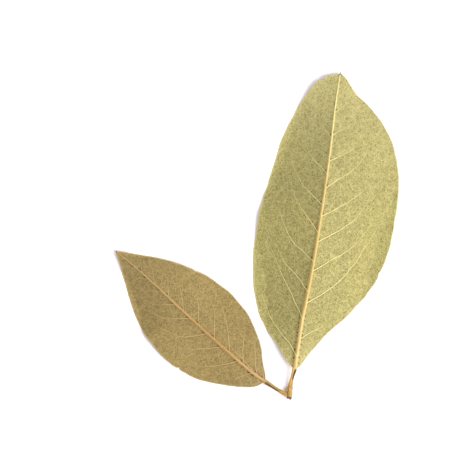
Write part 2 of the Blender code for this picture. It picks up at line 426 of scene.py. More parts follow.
def trace_veins(leaf):
    """Every side vein of the leaf: (path of places and offsets, its thickness from 0 to 1 along it)."""
    rng = np.random.default_rng(leaf["seed"])
    veins = []
    for side, name in ((-1, "veins_left"), (1, "veins_right")):
        for start, degrees, reach, ending in leaf[name]:
            path = trace_vein(leaf, start, degrees, reach, ending, side, rng)
            if len(path) < SHORTEST_VEIN:
                continue
            along = np.linspace(0, 1, len(path))
            strength = (1 - 0.96 * along**0.75) * (1 - 0.70 * max(start, 0.0) ** 1.3)
            veins.append((path, strength))
            # A fork towards the margin, past the middle of the vein.
            fork = int(len(path) * rng.uniform(0.42, 0.62))
            branch = trace_fork(leaf, path[fork], side, degrees + rng.uniform(14, 26), rng)
            if len(branch) > SHORTEST_VEIN:
                veins.append((branch, strength[fork] * 0.7 * (1 - np.linspace(0, 1, len(branch)))))
            # A weaker vein between this one and the next.
            if rng.uniform() < 0.75 and start > 0.05:
                between = start + rng.uniform(0.035, 0.055)
                turn, reach = degrees + rng.uniform(4, 14), rng.uniform(0.3, 0.5)
                weak = trace_vein(leaf, between, turn, reach, 20, side, rng)
                if len(weak) > SHORTEST_VEIN:
                    veins.append((weak, (0.40 - 0.2 * start) * (1 - np.linspace(0, 1, len(weak)))))
    return veins


def distance_to_path(x, y, path, strength):
    """The distance from each point to a path, and the same with more added where the vein is weaker."""
    nearest, weighted = np.full((2, len(x)), FAR_AWAY)
    for start, end, strong in zip(path[:-1], path[1:], strength):
        run = end - start
        share = ((x - start[0]) * run[0] + (y - start[1]) * run[1]) / max(float(run @ run), 1e-12)
        share = np.clip(share, 0, 1)
        gap = np.hypot(x - start[0] - share * run[0], y - start[1] - share * run[1])
        nearest = np.minimum(nearest, gap)
        weighted = np.minimum(weighted, gap + 0.9 * (1 - strong))
    return nearest, weighted


def flat_path(leaf, path):
    """A vein's path as offsets across and distances along, in millimetres."""
    return np.column_stack((path[:, 1], path[:, 0] * leaf["length"]))


# -------- meshes

def linked(name, data):
    """A new object in the scene, with this mesh, light or camera."""
    made = bpy.data.objects.new(name, data)
    bpy.context.scene.collection.objects.link(made)
    return made


def meshed(bm, name, material):
    """A new object with the bmesh's shape and this material."""
    mesh = bpy.data.meshes.new(name)
    bm.to_mesh(mesh)
    bm.free()
    mesh.materials.append(material)
    return linked(name, mesh)


def finished(bm, name, material, slot, *nodes):
    """Makes the bmesh a shown piece that rides on the sprig and stands for these CAD nodes."""
    piece = meshed(bm, name, material)
    piece.data.shade_smooth()
    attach(piece, "root")
    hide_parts(*nodes)
    return piece


def places_of(points):
    """Points in millimetres from the foot, in metres in the frame."""
    return (points + FOOT) * MM


def write_number(mesh, name, values):
    """Stores a number for each vertex, which the materials read by its name."""
    attribute = mesh.attributes.new(name, "FLOAT", "POINT")
    attribute.data.foreach_set("value", values.astype(np.float32))


def write_vector(mesh, name, values):
    """Stores a vector for each vertex, which the materials read by its name."""
    attribute = mesh.attributes.new(name, "FLOAT_VECTOR", "POINT")
    attribute.data.foreach_set("vector", values.astype(np.float32).ravel())


def columns_across(width, half_midrib, column):
    """How far out each column from 0 to the last runs, for rows of this width."""
    last = MIDRIB_COLUMNS + BLADE_COLUMNS
    inner = np.minimum(1.5 * half_midrib, MIDRIB_COLUMNS / last * width)
    edge = np.minimum(EDGE_ROUNDING, 0.2 * width)
    on_midrib = inner * column / MIDRIB_COLUMNS
    on_blade = inner + (width - edge - inner) * (column - MIDRIB_COLUMNS) / BLADE_COLUMNS
    offset = np.where(column <= MIDRIB_COLUMNS, on_midrib, on_blade)
    for i, share in enumerate(EDGE_STEPS + (0.0,)):
        offset = np.where(column == last + 1 + i, width - share * edge / EDGE_ROUNDING, offset)
    return offset


def leaf_sheet(leaf, shape, material, slot):
    """The blade, midrib and stalk: two closely spaced sheets joined round the margin."""
    blade_rows = int(leaf["length"] * ROWS_PER_MM)
    side_columns = MIDRIB_COLUMNS + BLADE_COLUMNS + len(EDGE_STEPS) + 1
    rows = STALK_ROWS + blade_rows
    bm = bmesh.new()
    bmesh.ops.create_grid(bm, x_segments=2 * side_columns, y_segments=rows, size=1)
    extruded = bmesh.ops.extrude_face_region(bm, geom=bm.faces[:])
    raised = [part for part in extruded["geom"] if isinstance(part, bmesh.types.BMVert)]
    bmesh.ops.translate(bm, verts=raised, vec=(0, 0, 1))
    bmesh.ops.recalc_face_normals(bm, faces=bm.faces[:])
    piece = finished(bm, leaf["name"] + "_blade", material, slot, leaf["name"])
    mesh = piece.data

    grid = np.empty(len(mesh.vertices) * 3)
    mesh.vertices.foreach_get("co", grid)
    grid = grid.reshape(-1, 3)
    column = np.rint(grid[:, 0] * side_columns)
    row = np.rint((grid[:, 1] + 1) / 2 * rows)
    upper = np.rint(grid[:, 2])
    stalk_at = STALK_START * (1 - row / STALK_ROWS)
    # Rows stand closer together towards the blade's foot and tip.
    share = (row - STALK_ROWS) / blade_rows
    blade_at = (share - 0.045 * np.sin(2 * math.pi * share)) * leaf["margins"][-1][0]
    at = np.where(row < STALK_ROWS, stalk_at, blade_at)
    side = np.where(column > 0, 1, -1)
    width = half_width(leaf, at, side)
    half_midrib = smooth_values(leaf["midrib"], np.minimum(at, 1.0))[:, 0]
    offset = side * columns_across(width, half_midrib, np.abs(column))

    along = distance_along(leaf, at)
    gap, halo, axil = np.full((3, len(at)), FAR_AWAY)
    for path, strength in leaf["veins"]:
        if strength[0] > PANEL_VEIN_STRENGTH:
            nearest, weighted = distance_to_path(offset, along, flat_path(leaf, path), strength)
            gap, halo = np.minimum(gap, nearest), np.minimum(halo, weighted)
    # A pit lies just past each place where a side vein leaves the midrib.
    for side_sign, name in ((-1, "veins_left"), (1, "veins_right")):
        for start, degrees, _, _ in leaf[name]:
            edge = smooth_values(leaf["midrib"], np.array([start]))[0, 0] + 0.12
            beyond = edge / math.tan(math.radians(degrees)) + 0.55
            there = np.hypot(offset - side_sign * edge, (along - start * leaf["length"] - beyond) * 0.5)
            axil = np.minimum(axil, there)
    points = leaf_points(leaf, shape, at, offset, upper, gap)
    mesh.vertices.foreach_set("co", places_of(points).ravel())
    mesh.update()
    write_vector(mesh, "leaf_mm", np.column_stack((offset, along, np.zeros(len(at)))))
    stored = {
        "underside": upper, "along": at, "turn": offset / width, "rim_mm": width - np.abs(offset),
        "midrib": np.abs(offset) / half_midrib, "axil_mm": axil, "vein_mm": halo,
    }
    for name, values in stored.items():
        write_number(mesh, name, values)
    return piece


def add_tube(bm, centres, sideways, upwards, wide, tall, sides=8):
    """Adds a closed tube through the centres, whose rings span sideways and upwards. Returns its vertices.

    The centres and sizes are in millimetres. sideways and upwards are unit vectors, one for each centre or
    one for all.
    """
    centres = places_of(centres)
    sideways, upwards = np.broadcast_to(sideways, centres.shape), np.broadcast_to(upwards, centres.shape)
    first = len(bm.verts)
    cone = bmesh.ops.create_cone(bm, cap_ends=True, segments=sides, radius1=1, radius2=1, depth=1)
    uprights = {edge for vert in cone["verts"] for edge in vert.link_edges
                if abs(edge.verts[0].co.z - edge.verts[1].co.z) > 0.5}
    bmesh.ops.subdivide_edges(bm, edges=list(uprights), cuts=len(centres) - 2, use_grid_fill=True)
    bm.verts.ensure_lookup_table()
    fresh = bm.verts[first:]
    for vert in fresh:
        ring = round((vert.co.z + 0.5) * (len(centres) - 1))
        spoke = vert.co.x * wide[ring] * sideways[ring] + vert.co.y * tall[ring] * upwards[ring]
        vert.co = Vector(centres[ring] + spoke * MM)
    # Where sideways, upwards and the way along make a left hand, the tube comes out inside out.
    if (np.cross(sideways, upwards) * np.gradient(centres, axis=0)).sum() < 0:
        bmesh.ops.reverse_faces(bm, faces=list({face for vert in fresh for face in vert.link_faces}))
    return fresh


def on_leaf(leaf, shape, path, further=0.0, aside=0.0):
    """A path's points on the leaf's raised side, or points a little further on or to the right of them."""
    at, offset = path.T
    return leaf_points(leaf, shape, at + further, offset + aside, np.ones(len(at)), np.zeros(len(at)))


def leaf_veins(leaf, shape, material, slot):
    """The side veins: tapered cords that stand out of the blade's raised side and sink in at their ends."""
    bm = bmesh.new()
    bm.verts.layers.float.new("strength")
    bm.verts.layers.float_vector.new("leaf_mm")
    strength_layer = bm.verts.layers.float["strength"]
    place_layer = bm.verts.layers.float_vector["leaf_mm"]
    for path, strength in leaf["veins"]:
        centre = on_leaf(leaf, shape, path)
        across = on_leaf(leaf, shape, path, aside=0.15) - on_leaf(leaf, shape, path, aside=-0.15)
        ahead = on_leaf(leaf, shape, path, further=0.003) - on_leaf(leaf, shape, path, further=-0.003)
        upwards = unit(np.cross(across, ahead))
        forward = unit(np.gradient(centre, axis=0))
        sideways = unit(np.cross(forward, upwards))
        wide = shape.vein_width / MM / 2 * (0.34 + 0.66 * strength)
        tall = wide * 0.85
        sink = wide * (0.72 - 0.75 * shape.vein_rise * strength)
        centre = centre - upwards * sink[:, None]
        flat = flat_path(leaf, path)
        centres = places_of(centre)
        for vert in add_tube(bm, centre, sideways, upwards, wide, tall):
            ring = int(np.argmin(((centres - np.array(vert.co)) ** 2).sum(axis=1)))
            vert[strength_layer] = float(strength[ring])
            vert[place_layer] = (flat[ring, 0], flat[ring, 1], 0.0)
    return finished(bm, leaf["name"] + "_veins", material, slot, leaf["name"])


# -------- materials

class Recipe:
    """A material's node tree, built by short calls that each return a node's output."""

    def __init__(self, name, roughness, specular):
        self.material = bpy.data.materials.new(name)
        self.material.use_nodes = True
        self.tree = self.material.node_tree
        self.shader = self.tree.nodes["Principled BSDF"]
        self.shader.inputs["Roughness"].default_value = roughness
        self.shader.inputs["Specular IOR Level"].default_value = specular

    def put(self, socket, value):
        """Sets a socket to a number or colour, or links another node's output to it."""
        if isinstance(value, bpy.types.NodeSocket):
            self.tree.links.new(value, socket)
        elif socket.type == "RGBA":
            socket.default_value = (*value[:3], 1.0)
        else:
            socket.default_value = value

    def node(self, kind, inputs, output=0, **settings):
        """An output of a new node with these settings and these numbers, colours or links as its inputs."""
        node = self.tree.nodes.new("ShaderNode" + kind)
        for name, value in settings.items():
            setattr(node, name, value)
        for name, value in inputs.items():
            self.put(node.inputs[name], value)
        return node.outputs[output]

    def attribute(self, name, output="Fac"):
        """A number or vector that the mesh stores under this name."""
        return self.node("Attribute", {}, output, attribute_name=name)

    def place(self):
        """The place on the piece in millimetres, from Object coordinates."""
        coordinates = self.node("TexCoord", {}, "Object")
        return self.node("VectorMath", {0: coordinates, "Scale": 1 / MM}, operation="SCALE")

    def math(self, operation, *values):
        """A Math node's result, of up to three numbers."""
        return self.node("Math", dict(enumerate(values)), operation=operation)

    def times(self, first, second):
        """The product of two numbers."""
        return self.math("MULTIPLY", first, second)

    def times_plus(self, first, second, third):
        """The product of the first two numbers, and the third one added."""
        return self.math("MULTIPLY_ADD", first, second, third)

    def band(self, value, low, high, start=0.0, end=1.0):
        """start below low, end above high, and a smooth change between."""
        names = ("Value", "From Min", "From Max", "To Min", "To Max")
        inputs = dict(zip(names, (value, low, high, start, end)))
        return self.node("MapRange", inputs, "Result", interpolation_type="SMOOTHSTEP")

    def mix(self, share, first, second):
        """The first colour, with this share of the second one."""
        return self.node("Mix", {"Factor": share, 6: first, 7: second}, 2, data_type="RGBA")

    def over(self, colour, *layers):
        """The colour under these layers, each a share and a colour, the last one on top."""
        for share, tint in layers:
            colour = self.mix(share, colour, tint)
        return colour

    def noise(self, place, per_mm, detail=3.0, roughness=0.55, distortion=0.0, output="Fac"):
        """Soft noise with about per_mm patches to a millimetre."""
        names = ("Vector", "Scale", "Detail", "Roughness", "Distortion")
        inputs = dict(zip(names, (place, per_mm, detail, roughness, distortion)))
        return self.node("TexNoise", inputs, output)

    def cells(self, place, per_mm, feature="F1", output="Distance"):
        """Irregular cells, about per_mm to a millimetre."""
        return self.node("TexVoronoi", {"Vector": place, "Scale": per_mm}, output, feature=feature)

    def dots_along(self, place, per_mm):
        """The distance in millimetres to the nearest of a row of places along the leaf, one row a side."""
        across, along = (self.node("SeparateXYZ", {0: place}, axis) for axis in "XY")
        apart = self.times_plus(self.math("GREATER_THAN", across, 0.0), 37.3, along)
        inputs = {"W": apart, "Scale": per_mm, "Randomness": 0.7}
        distance = self.node("TexVoronoi", inputs, "Distance", voronoi_dimensions="1D")
        return self.math("DIVIDE", distance, per_mm)

    def moved(self, place, by, amount):
        """The place moved about by a noise's colour, so that straight patterns wander."""
        centred = self.node("VectorMath", {0: by, 1: (0.5, 0.5, 0.5)}, operation="SUBTRACT")
        scaled = self.node("VectorMath", {0: centred, "Scale": amount}, operation="SCALE")
        return self.node("VectorMath", {0: place, 1: scaled}, operation="ADD")

    def stretched(self, place, x, y, z):
        """The place with each axis scaled, so that a pattern on it runs longer or shorter that way."""
        return self.node("VectorMath", {0: place, 1: (x, y, z)}, operation="MULTIPLY")

    def bump(self, height, distance_mm):
        """Lets the height raise the surface, by distance_mm where it is 1."""
        normal = self.node("Bump", {"Height": height, "Distance": distance_mm * MM})
        self.put(self.shader.inputs["Normal"], normal)

    def finish(self, colour, roughness=None):
        """Gives the shader its colour, and its roughness where it varies, and returns the material."""
        self.put(self.shader.inputs["Base Color"], colour)
        if roughness is not None:
            self.put(self.shader.inputs["Roughness"], roughness)
        return self.material


def leaf_material(name, look):
    """A dried leaf: mottled, with a fine net of veins, a paler midrib and rim, and a smoother other side."""
    recipe = Recipe(name, 0.6, 0.3)
    noise, cells, band, mix = recipe.noise, recipe.cells, recipe.band, recipe.mix
    times, times_plus, over = recipe.times, recipe.times_plus, recipe.over
    place = recipe.attribute("leaf_mm", "Vector")
    stored = ("midrib", "rim_mm", "along", "underside", "axil_mm", "turn", "vein_mm")
    midrib, rim, along, underside, axil, turn, vein_gap = (recipe.attribute(name) for name in stored)

    wander = noise(place, 0.7, detail=2.0, output="Color")
    wandering = recipe.moved(place, wander, 0.45)
    blotches = noise(place, 0.085, detail=3.0, roughness=0.6)
    mottle = noise(place, 0.55, detail=4.0, roughness=0.65)
    tones = cells(wandering, 2.3, output="Color")
    grain, pale_grain = (recipe.node("SeparateColor", {0: tones}, tone) for tone in ("Red", "Green"))
    net = band(cells(wandering, 0.62, feature="DISTANCE_TO_EDGE"), 0.015, 0.085, 1.0, 0.0)
    fine_net = band(cells(wandering, 2.3, feature="DISTANCE_TO_EDGE"), 0.02, 0.15, 1.0, 0.0)
    powder = noise(place, 3.4, detail=2.0, roughness=0.7)
    fan = noise(recipe.stretched(place, 2.2, 0.16, 1.0), 1.0, detail=3.0)
    streaks = noise(recipe.stretched(place, 5.0, 0.5, 1.0), 1.0, detail=3.0)

    # The underside: soft tints and a painted shade beside the midrib first, then the grain and the net of
    # fine veins over them, then a painted shade beside the side veins.
    near_margin = times(band(rim, 0.5, 5.0, 0.55, 0.0), band(blotches, 0.42, 0.58))
    # Painted shade: the right half of the blade is darker next to the midrib.
    painted_shade_by_midrib = times(band(turn, 0.05, 0.95, 0.44, 0.0), band(turn, 0.0, 0.04))
    near_foot = times(band(along, 0.0, 0.17, 0.75, 0.0), band(turn, -0.6, 0.7, 0.60, 1.0))
    at_foot = times(band(along, 0.0, 0.080, 0.80, 0.0), band(fan, 0.36, 0.60))
    # Painted shade: a dark band just beside each strong side vein, narrower where the vein weakens.
    painted_shade_beside_vein = times(band(vein_gap, 0.15, 0.30), band(vein_gap, 0.35, 0.85, 1.0, 0.0))
    scars = band(times_plus(powder, 0.03, cells(place, 0.115)), 0.030, 0.050, 0.6, 0.0)
    blade = over(
        look.blade,
        (band(blotches, 0.36, 0.64), look.blade_warm),
        (near_margin, look.blade_green),
        (band(along, 0.55, 0.97, 0.0, 0.55), look.blade_tip),
        (painted_shade_by_midrib, look.blade_dark),
        (near_foot, look.blade_foot),
        (at_foot, look.vein),
        (band(mottle, 0.35, 0.70, 0.0, 0.36), look.blade_pale),
        (band(grain, 0.30, 1.0, 0.0, 0.62), look.blade_dark),
        (band(pale_grain, 0.45, 1.0, 0.0, 0.60), look.blade_pale),
        (band(powder, 0.46, 0.68, 0.0, 0.60), look.blade_pale),
        (band(powder, 0.50, 0.32, 0.0, 0.60), look.blade_dark),
        (times(fine_net, 0.26), look.blade_pale),
        (times(net, 0.20), look.vein),
        (times(painted_shade_beside_vein, 0.34), look.blade_dark),
        (scars, look.speck),
    )

    # The side on the table: smoother, browner, with a faint net.
    face = over(
        look.face,
        (band(blotches, 0.35, 0.65), look.face_warm),
        (times(net, 0.35), look.blade_pale),
        (band(vein_gap, 0.08, 0.42, 0.55, 0.0), look.blade_pale),
    )

    # The midrib and the stalk.
    rib = over(
        look.midrib,
        (band(streaks, 0.35, 0.65), look.midrib_warm),
        (times(band(along, 0.14, 0.28), band(along, 0.38, 0.60, 0.65, 0.10)), look.midrib_warm),
        (band(midrib, 0.50, 0.95, 0.0, 0.45), look.stalk),
        (band(along, 0.60, 0.85, 0.0, 0.85), look.vein),
    )
    rib_mask = band(recipe.math("ADD", midrib, times(mottle, 0.25)), 1.00, 1.28, 1.0, 0.0)
    stalk = mix(band(streaks, 0.32, 0.68), look.stalk, look.stalk_dark)

    # Dark specks in rows along both sides of the lower midrib, and in the axils of the side veins.
    gap_along = recipe.dots_along(place, 0.68)
    gap_across = times_plus(midrib, 0.62, -0.70)
    gap_to_speck = recipe.math("SQRT", times_plus(gap_along, gap_along, times(gap_across, gap_across)))
    spots = band(times_plus(mottle, 0.22, gap_to_speck), 0.22, 0.38, 1.0, 0.0)
    specks = times(spots, times(band(along, 0.010, 0.025), band(along, 0.16, 0.22, 1.0, 0.0)))
    pits = band(recipe.math("ADD", axil, times(mottle, 0.5)), 0.36, 0.62, 1.0, 0.0)
    pits = times(pits, band(midrib, 0.80, 1.0, 0.0, 0.8))

    # The stalk's dried channel: painted shade darkens its groove.
    channel = recipe.math("ABSOLUTE", recipe.math("SUBTRACT", turn, look.channel))
    channel = band(channel, 0.28, 0.54, 1.0, 0.0)
    channel = times(channel, times(underside, band(along, -0.80, -0.50)))
    channel = times(channel, band(along, -0.06, 0.01, 0.92, 0.0))

    # The whole leaf, with the margin's pale rim and the dark point at the tip.
    colour = over(
        face,
        (underside, blade),
        (band(recipe.math("ADD", rim, times(mottle, 0.12)), 0.20, 0.46, 0.85, 0.0), look.rim),
        (rib_mask, rib),
        (band(along, -0.14, 0.03, 1.0, 0.0), stalk),
        (times(recipe.math("MAXIMUM", specks, pits), 0.88), look.speck),
        (channel, look.speck),
        (band(along, 0.998, 1.004), look.tip),
    )
    height = times_plus(grain, -0.25, times_plus(net, 0.50, times(fine_net, 0.30)))
    height = times(height, band(along, -0.02, 0.03))
    height = times(height, recipe.math("SUBTRACT", 1.0, rib_mask))
    height = times_plus(mottle, 0.8, times_plus(powder, 0.6, height))
    recipe.bump(times_plus(times(streaks, rib_mask), 1.0, height), 0.09)
    return recipe.finish(colour, times_plus(mottle, 0.25, band(underside, 0.0, 1.0, 0.34, 0.46)))


def vein_material(name, look):
    """A side vein: pale and smooth near the midrib, taking the blade's colour where it thins out."""
    recipe = Recipe(name, 0.5, 0.4)
    place = recipe.attribute("leaf_mm", "Vector")
    mottled = recipe.band(recipe.noise(place, 0.9, detail=3.0), 0.3, 0.7)
    cord = recipe.mix(mottled, look.vein, look.midrib)
    blade = recipe.mix(mottled, look.blade_pale, look.blade_warm)
    recipe.bump(recipe.noise(place, 3.0, detail=3.0), 0.04)
    return recipe.finish(recipe.mix(recipe.band(recipe.attribute("strength"), 0.12, 0.55), blade, cord))


def bark_material(look):
    """Twig bark: tan with darker lengthwise fibres, darkest at the torn foot."""
    recipe = Recipe("twig_bark", 0.7, 0.3)
    band, noise, stretched = recipe.band, recipe.noise, recipe.stretched
    place = recipe.place()
    fibres = noise(stretched(place, 7.0, 0.8, 5.0), 1.0, detail=5.0, roughness=0.7)
    cracks = noise(stretched(place, 5.0, 0.40, 5.0), 1.0, detail=2.0, distortion=0.2)
    cracks = band(recipe.math("ABSOLUTE", recipe.math("SUBTRACT", cracks, 0.5)), 0.006, 0.024, 0.60, 0.0)
    spots = noise(place, 1.6, detail=4.0)
    near_foot = recipe.times_plus(spots, 0.12, recipe.attribute("from_foot"))
    colour = recipe.over(
        look.bark_dark,
        (band(fibres, 0.38, 0.60), look.bark),
        (cracks, look.torn),
        (band(spots, 0.52, 0.75, 0.0, 0.7), look.bark_pale),
        (band(near_foot, 0.10, 0.26, 0.85, 0.0), look.torn),
    )
    recipe.bump(recipe.times_plus(cracks, -0.5, recipe.times_plus(spots, 0.6, fibres)), 0.12)
    return recipe.finish(colour)


def bud_material(look):
    """Bud scales: brown, finely lined, and darker at their tips."""
    recipe = Recipe("bud_scales", 0.5, 0.4)
    lines = recipe.noise(recipe.stretched(recipe.place(), 6.0, 1.0, 6.0), 1.0, detail=3.0)
    recipe.bump(lines, 0.05)
    return recipe.finish(recipe.over(
        look.bud,
        (recipe.band(lines, 0.35, 0.65), look.bark),
        (recipe.band(recipe.attribute("from_foot"), 0.45, 0.95), look.torn),
    ))


# -------- properties

def length_property(name, description, default):
    """A length in metres."""
    return FloatProperty(
        name=name, description=description, default=default, min=0.0, unit="LENGTH", precision=5
    )


def share_property(name, description, default, lowest=0.0):
    """A number from lowest to 1."""
    return FloatProperty(
        name=name, description=description, default=default, min=lowest, max=1.0, subtype="FACTOR"
    )


def colour_property(name, description, default):
    """A linear colour."""
    return FloatVectorProperty(
        name=name, description=description, default=default, min=0.0, max=1.0, size=3, subtype="COLOR"
    )


# The colours that both leaves have: (name, description, on the large leaf, on the small leaf).
LEAF_COLOURS = {
    "blade": ("Blade", "Main tone of the underside", (0.216, 0.188, 0.052), (0.204, 0.143, 0.042)),
    "blade_warm": ("Blade, warm", "Warmer patches of it", (0.262, 0.219, 0.056), (0.218, 0.130, 0.038)),
    "blade_pale": ("Blade, pale", "Pale grains, fine veins", (0.410, 0.362, 0.135), (0.335, 0.258, 0.090)),
    # The blade's dark tone is also the painted shade beside the midrib and the side veins.
    "blade_dark": ("Blade, dark", "Dark grains", (0.106, 0.092, 0.022), (0.100, 0.066, 0.018)),
    "blade_foot": ("Blade at its foot", "Tint near the stalk", (0.440, 0.375, 0.180), (0.225, 0.142, 0.070)),
    "blade_tip": ("Blade, far half", "Tint towards the tip", (0.540, 0.480, 0.235), (0.270, 0.195, 0.075)),
    "blade_green": ("Blade, green", "Patches near the margin", (0.225, 0.225, 0.045), (0.210, 0.165, 0.045)),
    "face": ("Other side", "The smooth side on the table", (0.136, 0.128, 0.044), (0.152, 0.116, 0.044)),
    "face_warm": ("Other side, warm", "Browner patches of it", (0.184, 0.144, 0.052), (0.184, 0.120, 0.048)),
    "vein": ("Veins", "Side veins near the midrib", (0.640, 0.560, 0.230), (0.384, 0.248, 0.092)),
    "rim": ("Rim", "The margin's pale rim", (0.580, 0.490, 0.220), (0.480, 0.368, 0.184)),
    "midrib": ("Midrib", "Main tone of the midrib", (0.555, 0.440, 0.200), (0.448, 0.316, 0.132)),
    "midrib_warm": ("Midrib, warm", "Browner tone higher up", (0.430, 0.305, 0.085), (0.336, 0.188, 0.060)),
    "stalk": ("Stalk", "Main tone of the stalk", (0.500, 0.320, 0.088), (0.440, 0.282, 0.072)),
    "stalk_dark": ("Stalk, dark", "Its darker fibres", (0.330, 0.180, 0.040), (0.250, 0.145, 0.032)),
    # The specks' colour also paints the shade in the stalk's channel.
    "speck": ("Specks", "Dark specks beside the midrib", (0.072, 0.036, 0.014), (0.072, 0.036, 0.016)),
    "tip": ("Tip", "The withered point of the tip", (0.048, 0.036, 0.032), (0.056, 0.040, 0.028)),
}


def leaf_colours(column):
    """The properties for one leaf's colours, from its column of the table."""
    return {key: colour_property(row[0], row[1], row[column]) for key, row in LEAF_COLOURS.items()}


class SprigLeafShape(PropertyGroup):
    """Sizes that both leaves share."""

    blade_thickness: length_property("Blade thickness", "Thickness of the dried blade", 0.00026)
    margin_bead: length_property("Margin bead", "How much thicker the margin's rim is", 0.00007)
    waviness: length_property("Waviness", "Height of the margin's waves", 0.00028)
    panel_swell: length_property("Panel swell", "How far the blade swells between side veins", 0.00016)
    wrinkles: length_property("Wrinkles", "Depth of the blade's fine wrinkles", 0.00010)
    vein_width: length_property("Vein width", "Width of a side vein where it leaves the midrib", 0.00042)
    vein_rise: share_property("Vein rise", "How far the side veins stand out", 0.6)


class SprigLargeLeafLook(PropertyGroup):
    """Colours of the large grey-green leaf."""

    __annotations__ = leaf_colours(2)
    channel: share_property("Channel", "Where the stalk's channel runs, -1 left to 1 right", 0.40, -1.0)


class SprigSmallLeafLook(PropertyGroup):
    """Colours of the small tan leaf."""

    __annotations__ = leaf_colours(3)
    channel: share_property("Channel", "Where the stalk's channel runs, -1 left to 1 right", -0.45, -1.0)


class SprigTwigLook(PropertyGroup):
    """Colours of the twig and the bud."""

    bark: colour_property("Bark", "Tan bark", (0.530, 0.335, 0.105))
    bark_pale: colour_property("Bark, pale", "Pale rubbed patches", (0.540, 0.390, 0.190))
    bark_dark: colour_property("Bark, dark", "Dark fibres", (0.340, 0.185, 0.050))
    torn: colour_property("Torn end", "Dark dried wood of the torn foot", (0.076, 0.036, 0.014))
    bud: colour_property("Bud", "Brown bud scales", (0.168, 0.088, 0.036))


class SprigStage(PropertyGroup):
    """Floor, light and camera."""

    floor: colour_property("Floor", "Plain pale floor", (0.930, 0.895, 0.930))
    key_power: FloatProperty(
        name="Key light", description="Power of the large soft light", default=13.0, min=0.0, unit="POWER"
    )
    fill: FloatProperty(
        name="Fill", description="Strength of the even light from all round", default=0.98, min=0.0
    )
    view_width: length_property("View width", "Width of the floor that the camera sees", 0.138)


# -------- operators

def build_leaf(leaf, shape, look, slot):
    """Makes a leaf's two pieces, its blade with the midrib and stalk, and its side veins."""
    leaf["length"] = spine_length(leaf, 0, 1, 60)
    leaf["channel"] = look.channel
    leaf["veins"] = trace_veins(leaf)
    leaf_sheet(leaf, shape, leaf_material(slot, look), slot)
    leaf_veins(leaf, shape, vein_material(slot + "_veins", look), slot)


class SPRIG_OT_large_leaf(Operator):
    """Makes the large grey-green leaf with its stalk and side veins"""

    bl_idname = "sprig.make_large_leaf"
    bl_label = "Large leaf"

    def execute(self, context):
        scene = context.scene
        build_leaf(LARGE_LEAF, scene.sprig_leaf_shape, scene.sprig_large_leaf, "grey_green_leaf")
        return {"FINISHED"}


class SPRIG_OT_small_leaf(Operator):
    """Makes the small tan leaf with its stalk and side veins"""

    bl_idname = "sprig.make_small_leaf"
    bl_label = "Small leaf"

    def execute(self, context):
        scene = context.scene
        build_leaf(SMALL_LEAF, scene.sprig_leaf_shape, scene.sprig_small_leaf, "tan_leaf")
        return {"FINISHED"}


def frame_along(start, end):
    """Unit vectors sideways and upwards of a line between two points."""
    forward = (end - start) / np.linalg.norm(end - start)
    sideways = np.cross(forward, (0, 0, 1))
    sideways /= np.linalg.norm(sideways)
    return sideways, np.cross(sideways, forward)


